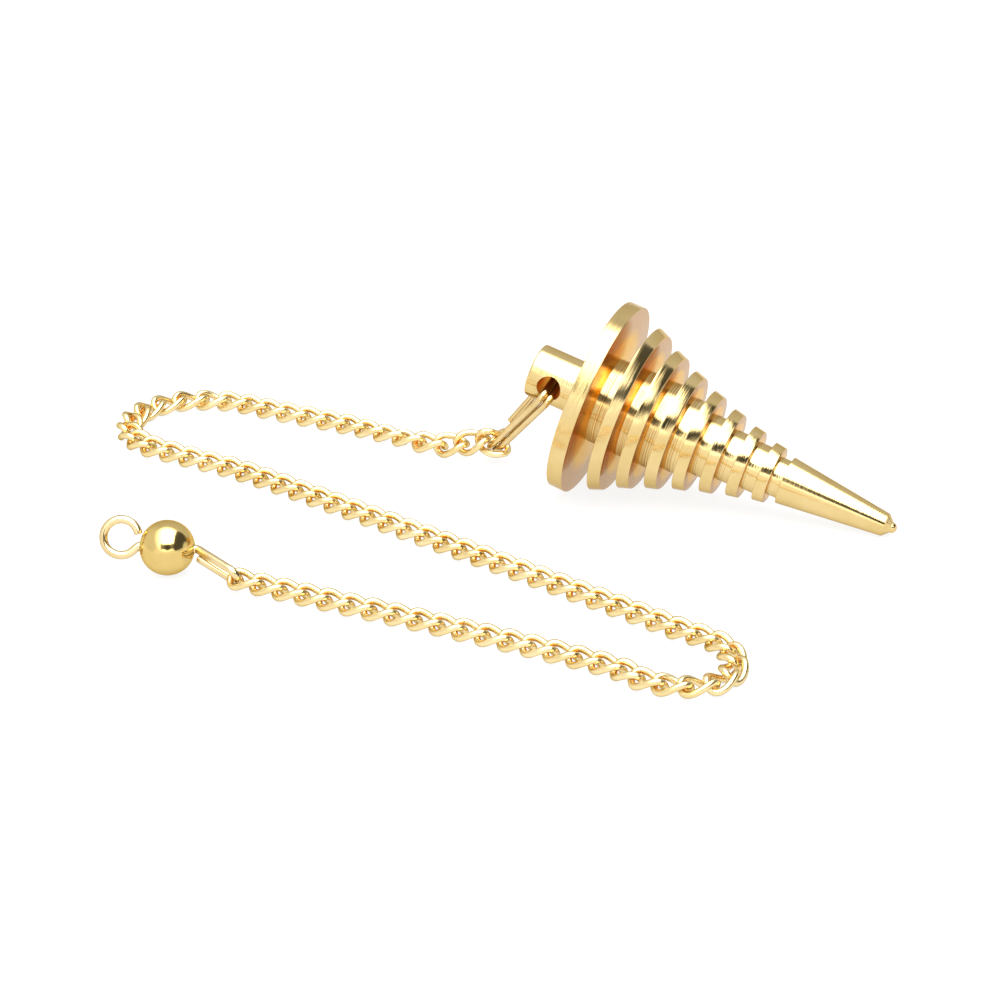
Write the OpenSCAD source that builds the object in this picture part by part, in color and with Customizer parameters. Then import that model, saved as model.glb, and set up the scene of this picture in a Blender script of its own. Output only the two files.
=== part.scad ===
// Pendulum pendant: a turned brass bob of eight discs and a cone, lying on a table, with a
// wire bail wound twice, a curb chain of twisted links, a drilled bead and a wire pin bent into
// an open ring. Millimetres, +Z up. The table is at z = 0 and the origin is the middle of
// the whole layout on it. X runs to the right and Y away from the viewer.

/* [Layout] */
// Width that the chain covers on the table
laid_w = 65.45; // [62:0.05:69]
// Depth that the chain covers on the table
laid_d = 69.2; // [66:0.05:73]

/* [Bob] */
// Diameter of the widest disc
disc_d = 22; // [18:0.5:26]
// Thickness of the widest disc
top_disc_t = 1.8; // [1.2:0.1:2.2]
// Thickness of the other discs
disc_t = 1.3; // [0.9:0.1:1.6]
// Groove below the widest disc
top_groove = 2.4; // [1.6:0.1:3]
// Groove between the other discs
groove = 1.5; // [1:0.1:2]
// Chamfer on the discs' edges
disc_edge = 0.12; // [0.05:0.01:0.2]
// Share by which a smaller disc's upper edge is wider than its middle
disc_flare = 0.045; // [0.02:0.005:0.05]
// Share by which a smaller disc's lower edge is narrower than its middle
disc_draw = 0.015; // [0.005:0.005:0.03]
// Diameter of the neck above the discs
neck_d = 6; // [5.4:0.1:6.4]
// Length of the neck above the discs
neck_len = 6.8; // [6:0.1:8]
// Rounding of the neck's end
neck_edge = 0.25; // [0.1:0.05:0.4]
// Length of the plain cone
cone_len = 11.9; // [9:0.1:14]
// Diameter where the cone starts
cone_d = 5.4; // [4.6:0.1:6]
// Diameter where the cone ends
tip_d = 2.6; // [2:0.1:3.2]
// Length of the tip beyond the cone
tip_len = 1.3; // [1:0.1:1.6]
// Diameter of the rounded nub at the tip
nub_d = 1.2; // [0.9:0.1:1.4]

/* [Bail] */
// Cross bore through the neck
bore_d = 2.8; // [2.7:0.1:3]
// Distance of the bore from the neck's end
bore_at = 2.75; // [2.4:0.05:3.2]
// Wire of the bail
bail_wire_d = 0.78; // [0.7:0.02:0.8]
// Reach of the bail from the bore to its far end
bail_len = 14.1; // [12.5:0.1:15]
// Space between the neck and the bail's legs
bail_clear = 0.45; // [0.35:0.05:0.8]
// Bend of the bail's wire at the bore's two mouths, on its centre line
bail_shoulder_r = 0.8; // [0.6:0.05:1]
// Turn of the bail's wire at its far end, on its centre line
bail_turn_r = 1.05; // [0.95:0.05:1.3]
// Space between the bail's two windings
winding_gap = 0.04; // [0.03:0.01:0.06]

/* [Chain] */
// Wire of the chain's links
link_wire_d = 0.75; // [0.6:0.01:0.78]
// Outside length of a link
link_len = 4.45; // [4.2:0.05:4.8]
// Outside width of a link
link_w = 3.1; // [2.9:0.05:3.2]
// Twist of a link from end to end
link_twist = 102; // [92:1:106]
// Fullness of a link's oval: 2 is a plain ellipse, more is squarer at the ends
link_full = 2.5; // [2.3:0.1:2.8]
// Free play between two linked wires
link_play = 0.36; // [0.3:0.01:0.42]

/* [Bead and pin] */
// Diameter of the bead
bead_d = 5.9; // [5.6:0.1:6.4]
// Hole through the bead
bead_bore_d = 1.2; // [1.1:0.05:1.4]
// Wire of the pin
pin_wire_d = 0.9; // [0.7:0.05:0.95]
// Inside diameter of the open ring at the pin's end
ring_id = 2.9; // [2.8:0.1:3.6]
// Space between the open ring and the bead
ring_clear = 0.15; // [0.15:0.05:0.4]
// Length of the pin's other loop, from the bead to its end
loop_len = 6.7; // [6:0.1:7]
// Inside width of that loop
loop_w = 1.4; // [1.3:0.05:1.6]

/* [Hidden] */
brass = "#d9b45a";
pale_brass = "#e6cc84";

X = 0;
Y = 1;
Z = 2;

// The discs from the neck down, as shares of disc_d
DISC = 0;  // diameter of the disc
CORE = 1;  // diameter of the core below it
DISCS = [
  [1.000, 0.443],
  [0.841, 0.455],
  [0.714, 0.452],
  [0.608, 0.393],
  [0.510, 0.322],
  [0.428, 0.268],
  [0.358, 0.250],
  [0.295, 0.200],
];
disc_r = [for (row = DISCS) row[DISC] * disc_d / 2];
core_r = [for (row = DISCS) row[CORE] * disc_d / 2];
// The widest disc is straight; the others taper towards the tip
upper_r = [for (k = [0:len(DISCS) - 1]) disc_r[k] * (k == 0 ? 1 : 1 + disc_flare)];
lower_r = [for (k = [0:len(DISCS) - 1]) disc_r[k] * (k == 0 ? 1 : 1 - disc_draw)];
function thick(k) = k == 0 ? top_disc_t : disc_t;
function below(k) = k == 0 ? top_groove : groove;
// Distance of a disc's upper face from the neck's end
function disc_at(k) = k == 0 ? neck_len : disc_at(k - 1) + thick(k - 1) + below(k - 1);
last = len(DISCS) - 1;
cone_at = disc_at(last) + thick(last) + groove * 0.8;
cone_end = cone_at + cone_len;
bob_len = cone_end + tip_len;

// The bob lies on the widest disc's lower edge and on the cone's small end
touch_at = neck_len + top_disc_t - disc_edge;
lie = atan2(disc_r[0] - tip_d / 2, cone_end - touch_at);
neck_z = touch_at * sin(lie) + disc_r[0] * cos(lie);
// Which way the bob points
bob_yaw = -22;
bob_axis = [cos(lie) * cos(bob_yaw), cos(lie) * sin(bob_yaw), -sin(lie)];

// A point turned about X, about Y and about Z
function tilt(p, a) = [p[X], p[Y] * cos(a) - p[Z] * sin(a), p[Y] * sin(a) + p[Z] * cos(a)];
function dip(p, a) = [p[X] * cos(a) + p[Z] * sin(a), p[Y], p[Z] * cos(a) - p[X] * sin(a)];
function swing(p, a) = [p[X] * cos(a) - p[Y] * sin(a), p[X] * sin(a) + p[Y] * cos(a), p[Z]];

// How the bail hangs: swung to the chain, leaning back in the bore, and turned a little
bail_swing = 37.4;
bail_lean = 10.7;
bail_turn = 7.6;
bail_way = swing(dip(swing(tilt([0, 0, -1], bail_lean), bail_turn), bail_swing), bob_yaw);
shoulder_y = neck_d / 2 + bail_clear + bail_wire_d / 2 - bail_shoulder_r;
turn_drop = bail_len - bail_turn_r;
span = [shoulder_y, turn_drop - bail_shoulder_r];
leg_lean = atan2(span[0], span[1]) - asin((bail_turn_r - bail_shoulder_r) / norm(span));

// The chain's route on the table, from the bail to the pin's loop
ROLL = 3;  // how far a link is rolled up to face the viewer
ROUTE = [
  [ -0.25,  19.75, 2.30,  51],
  [  -1.4,  20.15, 2.53,  45],
  [ -5.05,   21.3, 1.46,  32],
  [  -9.5,   23.3, 1.15, -13],
  [ -17.5,   28.2, 0.95,   0],
  [ -25.1,   31.7, 0.95,   0],
  [ -30.4,   34.2, 0.95,   0],
  [ -35.2,   34.6, 0.95,   0],
  [ -39.0,  33.05, 0.95,   0],
  [ -41.3,  29.95, 0.97,   1],
  [-41.65,   25.9, 0.96,   0],
  [ -39.4,   22.1, 1.09,   7],
  [ -34.1,   19.0, 0.95,   1],
  [ -27.3,   14.8, 0.95,   0],
  [ -12.2,    2.9, 0.95,   0],
  [  11.8,  -16.5, 0.95,   0],
  [  18.6,  -22.2, 0.98,   0],
  [  22.2,  -25.4, 1.18,  -2],
  [  23.8,  -28.6, 1.22,  -6],
  [  23.6,  -32.0, 1.10,   3],
  [  21.4,  -34.3, 1.08,  -7],
  [  17.9,  -34.6, 1.06,  -4],
  [  14.5,  -33.0, 1.00,  -2],
  [  10.6,  -29.7, 0.95,   0],
  [  -3.5,  -22.4, 0.95,   0],
  [ -20.8, -14.45, 1.10,   1],
  [ -25.9,  -12.2, 1.25,  -2],
];

// The route spread to the layout's width and depth
function reach(c) = max([for (row = ROUTE) row[c]]) - min([for (row = ROUTE) row[c]]);
spread = [laid_w / reach(X), laid_d / reach(Y)];
laid = [for (row = ROUTE) [row[X] * spread[X], row[Y] * spread[Y], row[Z], row[ROLL]]];

// The bob lies where its bail reaches the first link, which hangs a little inside the far turn
link_inside = 1.193;
link_beside = [-0.715, -0.842];
neck_x = laid[0][X] - (bail_len - link_inside) * bail_way[X] - link_beside[X]
         - bore_at * bob_axis[X];
neck_y = laid[0][Y] - (bail_len - link_inside) * bail_way[Y] - link_beside[Y]
         - bore_at * bob_axis[Y];
neck_at = [neck_x, neck_y, neck_z];
bore_mid = neck_at + bore_at * bob_axis;

// The route as a smooth curve, its length so far in front of each point
sub = 12;
function at_row(k) = laid[max(0, min(len(laid) - 1, k))];
function smooth(p, q, r, s, u) =
  0.5 * (2 * q + (r - p) * u + (2 * p - 5 * q + 4 * r - s) * u * u
         + (3 * q - p - 3 * r + s) * u * u * u);
curve = [
  for (k = [0:len(laid) - 2], i = [0:sub - 1])
    smooth(at_row(k - 1), at_row(k), at_row(k + 1), at_row(k + 2), i / sub),
  laid[len(laid) - 1],
];
function place_of(p) = [p[X], p[Y], p[Z]];
function run_len(k) = k == 0 ? 0 : norm(place_of(curve[k]) - place_of(curve[k - 1]));
function sums(k, so_far) =
  k == len(curve) ? [] : concat([so_far + run_len(k)], sums(k + 1, so_far + run_len(k)));
run = sums(0, 0);
route_len = run[len(run) - 1];
function column(c) = [for (k = [0:len(curve) - 1]) [run[k], curve[k][c]]];
columns = [column(X), column(Y), column(Z), column(ROLL)];
function on_route(s) = [for (c = [X, Y, Z]) lookup(s, columns[c])];
function roll_at(s) = lookup(s, columns[ROLL]);
links = 1 + round(route_len / (link_len - 2 * link_wire_d - link_play));
pitch = route_len / (links - 1);

// One twisted link on its own axes: an oval, turned about X from one end to the other
link_sides = 5;
link_steps = 12;
oval = [link_len - link_wire_d, link_w - link_wire_d] / 2;
function full(v) = sign(v) * pow(abs(v), 2 / link_full);
function twist_at(t) = -link_twist / 2 * full(cos(t));
function oval_point(t) = [
  oval[X] * full(cos(t)),
  oval[Y] * full(sin(t)) * cos(twist_at(t)),
  oval[Y] * full(sin(t)) * sin(twist_at(t)),
];
function unit(v) = v / norm(v);
function along(t) = unit(oval_point(t + 1) - oval_point(t - 1));
function outward(t) = unit(cross(along(t), [0, -sin(twist_at(t)), cos(twist_at(t))]));
function link_point(t, turn) =
  oval_point(t)
  + link_wire_d / 2 * (cos(turn) * outward(t) + sin(turn) * cross(outward(t), along(t)));
link_points = [
  for (i = [0:link_steps - 1], j = [0:link_sides - 1])
    link_point(i * 360 / link_steps, j * 360 / link_sides)
];
function nth(i, j) = (i % link_steps) * link_sides + j % link_sides;
link_faces = [
  for (i = [0:link_steps - 1], j = [0:link_sides - 1], half = [0, 1])
    half == 0
      ? [nth(i, j), nth(i + 1, j + 1), nth(i + 1, j)]
      : [nth(i, j), nth(i, j + 1), nth(i + 1, j + 1)]
];

// The bead and its pin: the loop drops from the bead to the chain's last link
bead_reach = bead_d / 2 + loop_len;
bead_off = [-0.89119, 0.46632];
chain_end = laid[len(laid) - 1];
bead_at = [
  chain_end[X] + bead_reach * bead_off[X], chain_end[Y] + bead_reach * bead_off[Y], bead_d / 2
];
pin_yaw = -7;
ring_face = 26;
ring_r = (ring_id + pin_wire_d) / 2;
ring_mid = [-(bead_d / 2 + ring_r + ring_clear), ring_r * 0.43];
ring_from = 17;
ring_leave = 310;
pin_start = -(bead_d / 2 + 0.15);
pin_end = bead_d / 2 + 0.3;
loop_yaw = -39;
loop_drop = 17;
loop_roll = -60;
loop_turn_r = (loop_w + pin_wire_d) / 2;

module bob_profile() {
  polygon(concat(
    [[0, 0], [neck_d / 2 - neck_edge, 0]],
    [for (a = [15:15:75]) [neck_d / 2 - neck_edge * (1 - sin(a)), neck_edge * (1 - cos(a))]],
    [[neck_d / 2, neck_edge], [neck_d / 2, neck_len]],
    [for (k = [0:last]) each [
      [upper_r[k] - disc_edge, disc_at(k)],
      [upper_r[k], disc_at(k) + disc_edge],
      [lower_r[k], disc_at(k) + thick(k) - disc_edge],
      [lower_r[k] - disc_edge, disc_at(k) + thick(k)],
      [core_r[k], disc_at(k) + thick(k)],
      [core_r[k], k == last ? cone_at : disc_at(k + 1)],
    ]],
    [[cone_d / 2, cone_at], [tip_d / 2, cone_end]],
    [for (a = [0:18:90])
      [nub_d / 2 * cos(a), bob_len - nub_d / 2 * (1 - sin(a))]]
  ));
}

module bob() {
  color(brass)
  translate(neck_at)
  rotate([0, 90 + lie, bob_yaw])
  difference() {
    rotate_extrude($fn = 128) bob_profile();
    translate([0, 0, bore_at]) rotate([90, 0, 0])
      cylinder(d = bore_d, h = neck_d * 1.4, center = true, $fn = 64);
  }
}

// A bent wire: a ring of corners round each point of its centre line
function run_dir(path, i, loop) =
  let (n = len(path))
  loop ? unit(path[(i + 1) % n] - path[(i + n - 1) % n])
       : unit(path[min(i + 1, n - 1)] - path[max(i - 1, 0)]);
function carried(path, i, before, loop) =
  i == len(path) ? []
  : let (way = run_dir(path, i, loop), side = unit(before - (before * way) * way))
    concat([[side, cross(way, side)]], carried(path, i + 1, side, loop));

module wire(path, d, sides, first_side, loop = false) {
  n = len(path);
  across = carried(path, 0, first_side, loop);
  points = [
    for (i = [0:n - 1], j = [0:sides - 1])
      path[i] + d / 2 * (cos(j * 360 / sides) * across[i][0] + sin(j * 360 / sides) * across[i][1])
  ];
  walls = [
    for (i = [0:n - (loop ? 1 : 2)], j = [0:sides - 1])
      let (i2 = (i + 1) % n, j2 = (j + 1) % sides)
      each [[i * sides + j, i2 * sides + j, i2 * sides + j2],
            [i * sides + j, i2 * sides + j2, i * sides + j2]]
  ];
  caps = loop ? [] : [[for (j = [0:sides - 1]) j],
                      [for (j = [sides - 1:-1:0]) (n - 1) * sides + j]];
  polyhedron(points, concat(walls, caps), convexity = 8);
}

function arc(mid, r, from, to, steps) = [
  for (i = [0:steps])
    let (a = from + (to - from) * i / steps)
    mid + [r * cos(a), r * sin(a), 0]
];

// The bail in its own plane: over the bore from the back leg to the front, then the far turn
over_bore = concat(
  arc([shoulder_y, -bail_shoulder_r, 0], bail_shoulder_r, -leg_lean, 90, 6),
  arc([-shoulder_y, -bail_shoulder_r, 0], bail_shoulder_r, 90, 180 + leg_lean, 6)
);
far_turn = arc([0, -turn_drop, 0], bail_turn_r, 180 + leg_lean, 360 - leg_lean, 10);
leg_top = over_bore[0];
leg_foot = far_turn[10];
function on_leg(u, z) = [
  leg_foot[X] + u * (leg_top[X] - leg_foot[X]), leg_foot[Y] + u * (leg_top[Y] - leg_foot[Y]), z
];

// The bail is one wire wound twice. Its first end and the step between its two lanes lie on the
// back leg, where u runs from the far turn at 0 to the bore at 1. Its last end is in that turn.
function lane(points, z) = [for (p = points) [p[X], p[Y], z]];
lane_z = (bail_wire_d + winding_gap) / 2;
step_from = 0.015;
step_to = 0.155;
end_high = 0.2;
last_turn = 7;
bail_path = concat(
  [on_leg(end_high, -lane_z)],
  lane(over_bore, -lane_z),
  lane(far_turn, -lane_z),
  [for (i = [0:6]) on_leg(step_from + (step_to - step_from) * i / 6, -lane_z * cos(30 * i))],
  lane(over_bore, lane_z),
  lane([for (i = [0:last_turn]) far_turn[i]], lane_z)
);

module bail() {
  color(pale_brass)
  translate(bore_mid)
  rotate([0, 0, bob_yaw])
  rotate([0, bail_swing, 0])
  rotate([bail_lean, 0, bail_turn])
  rotate([90, 0, 90])
    wire(bail_path, bail_wire_d, 10, [0, 0, 1]);
}

module link_at(s) {
  way = unit(on_route(min(s + 0.6, route_len)) - on_route(max(s - 0.6, 0)));
  side = unit(cross([0, 0, 1], way));
  up = cross(way, side);
  turn = roll_at(s) * (way[X] > 0 ? 1 : -1);
  mid = on_route(s);
  multmatrix([
    [way[X], side[X], up[X], mid[X]],
    [way[Y], side[Y], up[Y], mid[Y]],
    [way[Z], side[Z], up[Z], mid[Z]],
    [0, 0, 0, 1],
  ])
  rotate([turn, 0, 0]) polyhedron(link_points, link_faces, convexity = 6);
}

module chain() {
  color(pale_brass)
  for (k = [0:links - 1]) link_at(k * pitch);
}

module bead() {
  color(brass)
  translate(bead_at)
  rotate([0, 90, pin_yaw])
  rotate_extrude($fn = 96)
  difference() {
    circle(d = bead_d, $fn = 96);
    translate([-bead_d, -bead_d]) square([bead_d + bead_bore_d / 2, 2 * bead_d]);
  }
}

// The pin's centre line on the bead's own axes, X along the hole
function corner(from, at, to, reach) =
  let (p = at + reach * unit(from - at), q = at + reach * unit(to - at))
  [for (u = [0:0.25:1]) (1 - u) * (1 - u) * p + 2 * u * (1 - u) * at + u * u * q];

ring_path = [
  for (p = arc([ring_mid[X], ring_mid[Y], 0], ring_r, ring_from, ring_leave, 24))
    tilt(p, 90 - ring_face)
];
loop_mid = loop_len - loop_turn_r - pin_wire_d / 2;
loop_bend = [for (p = arc([loop_mid, 0, 0], loop_turn_r, -90, 90, 10)) tilt(p, loop_roll)];
loop_path = [
  for (p = concat(loop_bend, [[0.5, 0, -0.95]]))
    [pin_end, 0, 0] + swing(dip(p, loop_drop), loop_yaw - pin_yaw)
];
pin_path = concat(
  ring_path,
  corner(ring_path[24], [pin_start, 0, 0], [0, 0, 0], 0.25),
  corner([0, 0, 0], [pin_end, 0, 0], loop_path[0], 0.25),
  loop_path
);

module eye_pin() {
  color(pale_brass)
  translate(bead_at)
  rotate([0, 0, pin_yaw])
    wire(pin_path, pin_wire_d, 10, [0, 0, 1]);
}

bob();
bail();
chain();
bead();
eye_pin();
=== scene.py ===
# %% [markdown]
# # A pendulum pendant in turned brass
#
# The real object is a lathe-turned bob of eight discs and a plain cone, lying on a white table.
# A wire bail, wound twice like a long key ring, hangs from a hole through the bob's neck. A curb
# chain of twisted links leads from it to a small drilled bead on a bent wire pin.
#
# Every piece here is a surface worked out with numpy: a turned profile carried round an axis, or a
# round section carried along a path. They are made in the same frame as the construction model, so
# nothing is fitted afterwards.

# %% Load the construction model as the fixed frame
import bpy
import numpy as np
from mathutils import Matrix


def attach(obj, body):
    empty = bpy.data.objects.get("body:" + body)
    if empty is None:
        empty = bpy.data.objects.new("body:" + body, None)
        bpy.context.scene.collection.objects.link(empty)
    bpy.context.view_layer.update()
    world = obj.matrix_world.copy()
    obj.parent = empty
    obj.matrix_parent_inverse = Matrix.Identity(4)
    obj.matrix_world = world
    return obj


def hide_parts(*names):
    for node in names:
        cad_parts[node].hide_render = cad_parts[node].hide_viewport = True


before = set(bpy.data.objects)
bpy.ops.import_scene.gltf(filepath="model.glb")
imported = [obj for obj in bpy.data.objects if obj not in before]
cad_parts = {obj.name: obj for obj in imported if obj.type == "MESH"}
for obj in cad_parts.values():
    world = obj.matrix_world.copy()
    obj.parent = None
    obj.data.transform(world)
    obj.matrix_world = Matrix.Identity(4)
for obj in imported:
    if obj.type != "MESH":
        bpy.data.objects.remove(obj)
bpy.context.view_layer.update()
MM = 0.001

# %% [markdown]
# ## From a grid of points to a mesh
#
# A wire and a turned piece are the same thing to numpy: a grid of points with one direction that
# goes round and one that goes along. One helper turns any such grid into a mesh, and closes it
# where the shape meets itself. The faces are built as whole arrays of corner numbers, because a
# Python loop over tens of thousands of them would be slow.

# %% Faces and volume of a grid
def grid_faces(rows, cols, along_closes=False):
    """Corner numbers of the four-sided faces between row i and i + 1 and column j and j + 1.
    Columns always close on themselves; rows do where along_closes is true."""
    i, j = np.meshgrid(np.arange(rows if along_closes else rows - 1), np.arange(cols),
                       indexing="ij")
    i2, j2 = (i + 1) % rows, (j + 1) % cols
    corners = np.stack([i * cols + j, i * cols + j2, i2 * cols + j2, i2 * cols + j], -1)
    return corners.reshape(-1, 4)


def signed_volume(points, faces):
    """Sum over the faces, each cut into two triangles, of a sixth of the corners' triple product.
    It comes out negative where the faces point inwards."""
    a, b, c, d = (points[faces[:, k]] for k in range(4))
    return (np.einsum("ij,ij->i", a, np.cross(b, c))
            + np.einsum("ij,ij->i", a, np.cross(c, d))).sum() / 6


faces = grid_faces(3, 4)
print(f"a grid of 3 rows of 4 points has {len(faces)} faces, the first on points {faces[0]}")

# %% [markdown]
# ## One way to make every piece
#
# A polished piece is smooth but for its crisp edges, so shading is smooth except where two faces
# meet at a sharp angle. Where a profile starts or ends on the axis, a whole row of points lies on
# one spot, a pole. Those points are joined into one, so that the surface is closed there and the
# mesh is a proper solid.

# %% A mesh with poles closed and edges kept
SMOOTH_BELOW = 35  # degrees between two faces


def shade_smooth(mesh):
    """Smooth wherever two faces meet at less than SMOOTH_BELOW degrees."""
    mesh.polygons.foreach_set("use_smooth", np.ones(len(mesh.polygons), bool))
    mesh.set_sharp_from_angle(angle=np.radians(SMOOTH_BELOW))


def mesh_piece(name, points, faces, depth=None):
    """A piece from points in millimetres and four-sided faces, turned outwards where its volume
    comes out negative. The depth, if there is one, is a value for each point that the finish can
    read."""
    if signed_volume(points, faces) < 0:
        faces = faces[:, ::-1]
    # All the points of a pole lie on one spot, so they become one point, and the pole is closed.
    _, first, same = np.unique(points.round(7), axis=0, return_index=True, return_inverse=True)
    points, faces = points[first], same.reshape(-1)[faces]
    # A face that closes a pole then names one corner twice, so it keeps three corners there.
    corners = [tuple(dict.fromkeys(f)) for f in faces.tolist()]
    mesh = bpy.data.meshes.new(name)
    mesh.from_pydata((points * MM).tolist(), [], corners)
    shade_smooth(mesh)
    if depth is not None:
        mesh.attributes.new("depth", "FLOAT", "POINT").data.foreach_set(
            "value", depth[first].astype(np.float32))
    piece = bpy.data.objects.new(name, mesh)
    bpy.context.scene.collection.objects.link(piece)
    print(f"{name}: {len(points)} points, {len(corners)} faces, "
          f"{abs(signed_volume(points, faces)):.1f} mm3")
    return piece


# %% [markdown]
# ## Directions, turned surfaces and wires
#
# A lathe carries a profile round an axis, so a turned piece is one table of distances and radii. A
# bent wire carries a circle along a path. The circle needs a direction across the wire at every
# point, and here that is given, because the wires lie in flat planes whose normals are
# known. A Bevel on a curve would do it too, but its ends would be flat and its twist a guess.

# %% Directions, and a turned surface
def unit(v):
    """v divided by its own length."""
    return v / np.linalg.norm(v, axis=-1, keepdims=True)


def turn(axis, degrees):
    """The matrix that turns a point about X, Y or Z, as a construction model's rotate does."""
    c, s = np.cos(np.radians(degrees)), np.sin(np.radians(degrees))
    return {"x": np.array([[1, 0, 0], [0, c, -s], [0, s, c]]),
            "y": np.array([[c, 0, s], [0, 1, 0], [-s, 0, c]]),
            "z": np.array([[c, -s, 0], [s, c, 0], [0, 0, 1]])}[axis]


def turned(profile, around):
    """A profile of (distance along the axis, radius) rows carried round the axis: the point at
    angle a is (radius cos a, radius sin a, distance)."""
    a = np.linspace(0, 2 * np.pi, around, endpoint=False)
    s, r = profile[:, :1], profile[:, 1:]
    return np.stack([r * np.cos(a), r * np.sin(a), s + 0 * a], -1).reshape(-1, 3)


print("X turned 90 degrees about Z is", (turn("z", 90) @ [1, 0, 0]).round(3))

# %% [markdown]
# ## A wire with tumbled ends
#
# The bail and the pin are cut from wire and tumbled with small stones, which takes the sharp edge
# off each cut. So each end closes with a few rings that shrink, and not with a flat disc.

# %% A wire along a path
END_ROUND = 0.3  # how far the rounding of a cut reaches, as a share of the wire's radius
WIRE_AROUND = 28


def wire(path, radius, across):
    """A round wire along path. At each point one direction across the wire is the given one made
    square to the path, the other is square to both, and the section's corner at angle a is the
    path's point plus radius (cos a times the one plus sin a times the other). At each end the
    section shrinks on a quarter circle, and then to a point."""
    way = unit(np.gradient(path, axis=0))
    one = unit(across - (across * way).sum(-1, keepdims=True) * way)
    two = np.cross(way, one)
    # Five rings round the cut's edge, then one inside them and the point that closes the end.
    q = np.radians([12, 30, 55, 78, 90])
    shrink = np.append(1 - END_ROUND * (1 - np.cos(q)), [0.35, 0]) * radius
    ahead = np.append(END_ROUND * np.sin(q), [0.32, 0.325]) * radius
    size = np.concatenate([shrink[::-1], np.full(len(path), float(radius)), shrink])
    path = np.concatenate([path[:1] - ahead[::-1, None] * way[:1], path,
                           path[-1:] + ahead[:, None] * way[-1:]])
    one, two = (np.concatenate([np.repeat(v[:1], len(q) + 2, 0), v,
                                np.repeat(v[-1:], len(q) + 2, 0)]) for v in (one, two))
    a = np.linspace(0, 2 * np.pi, WIRE_AROUND, endpoint=False)
    points = (path[:, None] + size[:, None, None]
              * (np.cos(a)[:, None] * one[:, None] + np.sin(a)[:, None] * two[:, None]))
    return points.reshape(-1, 3), grid_faces(len(path), WIRE_AROUND)


def arc(mid, r, start, end, steps):
    """Points of a circle in a plane, from start to end degrees: the middle plus r cos a one way
    and r sin a the other, with a third number of zero."""
    a = np.radians(np.linspace(start, end, steps))
    return np.stack([mid[0] + r * np.cos(a), mid[1] + r * np.sin(a), 0 * a], -1)


print(f"a straight wire of two points becomes "
      f"{len(wire(np.eye(3)[:2], 1, np.array([0.0, 0, 1]))[0]) // WIRE_AROUND} rings")

# %% [markdown]
# ## The bob's profile
#
# A bob like this is turned from one bar: the lathe leaves crisp discs with a hair of rounding at
# each edge, square grooves between them, and a long plain cone that ends in a small nub. So it is
# one profile carried round the axis. Each disc is a row of a table that holds its diameter and the
# core's as shares of the widest disc.

# %% The bob's sizes in millimetres
DISC_D, NECK_D, CONE_D, TIP_D, NUB_D = 22, 6, 5.4, 2.6, 1.2
NECK_LEN, CONE_LEN, TIP_LEN = 6.8, 11.9, 1.3
TOP_DISC, DISC, TOP_GROOVE, GROOVE, LAST_GROOVE_SHARE = 1.8, 1.3, 2.4, 1.5, 0.8
disc_share = np.array([1.000, 0.841, 0.714, 0.608, 0.510, 0.428, 0.358, 0.295])
core_share = np.array([0.443, 0.455, 0.452, 0.393, 0.322, 0.268, 0.250, 0.200])
discs = len(disc_share)
widest = np.arange(discs) == 0
thick = np.where(widest, TOP_DISC, DISC)
below = np.where(widest, TOP_GROOVE, GROOVE)
disc_at = NECK_LEN + np.concatenate([[0], np.cumsum(thick + below)[:-1]])
cone_at = disc_at[-1] + DISC + GROOVE * LAST_GROOVE_SHARE
cone_end = cone_at + CONE_LEN
bob_len = cone_end + TIP_LEN
disc_r, core_r = disc_share * DISC_D / 2, core_share * DISC_D / 2
print(f"the bob is {bob_len:.1f} mm long, with {discs} discs from {2 * disc_r[0]:.1f} "
      f"to {2 * disc_r[-1]:.1f} mm across")

# %% [markdown]
# ## Edges that catch the light
#
# No real edge is perfectly sharp, and the thin bright line along a rim is what tells the eye that
# this is metal. So nearly every corner of the outline gets a small curve, wide on the rims and
# hardly there in the grooves. The profile also notes how deep in a groove each point lies, for the
# finish to read later, where it paints amber bounce light into the grooves.

# %% Rounded corners
CORNER_STEPS = 5
PLAIN_EDGE, NECK_EDGE, RIM_EDGE, CONE_EDGE, NUB_EDGE = 0.035, 0.25, 0.11, 0.06, 0.12


def corner_curve(p, corner, q, u):
    """A curve that leaves p and reaches q, drawn to the corner between them: (1-u)(1-u) times p,
    2u(1-u) times the corner and uu times q, with u from 0 to 1."""
    return (1 - u) ** 2 * p + 2 * u * (1 - u) * corner + u ** 2 * q


def rounded(corners, radii):
    """Each corner of an open outline replaced by a curve that starts and ends radii away from it
    on its two sides."""
    before, after = np.roll(corners, 1, 0), np.roll(corners, -1, 0)
    p = corners + radii[:, None] * unit(before - corners + 1e-12)
    q = corners + radii[:, None] * unit(after - corners + 1e-12)
    u = np.linspace(0, 1, CORNER_STEPS)[None, :, None]
    curve = corner_curve(p[:, None], corners[:, None], q[:, None], u)
    curve[0], curve[-1] = corners[0], corners[-1]
    return curve.reshape(-1, 2)


# The widest disc's rim is straight. The other rims taper towards the tip, as the whole bob does.
RIM_FLARE, RIM_DRAW = 1.045, 0.985
neck_side = disc_r * np.where(widest, 1, RIM_FLARE)
tip_side = disc_r * np.where(widest, 1, RIM_DRAW)
next_at = np.append(disc_at[1:], cone_at)
disc_corners = np.stack([
    np.stack([disc_at, neck_side], -1), np.stack([disc_at + thick, tip_side], -1),
    np.stack([disc_at + thick, core_r], -1), np.stack([next_at, core_r], -1)], 1).reshape(-1, 2)
outline = np.concatenate([
    [[0, 0.0], [0, NECK_D / 2], [NECK_LEN, NECK_D / 2]],
    disc_corners,
    [[cone_at, CONE_D / 2], [cone_end, TIP_D / 2], [bob_len - NUB_D / 2, NUB_D / 2]]])
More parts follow.
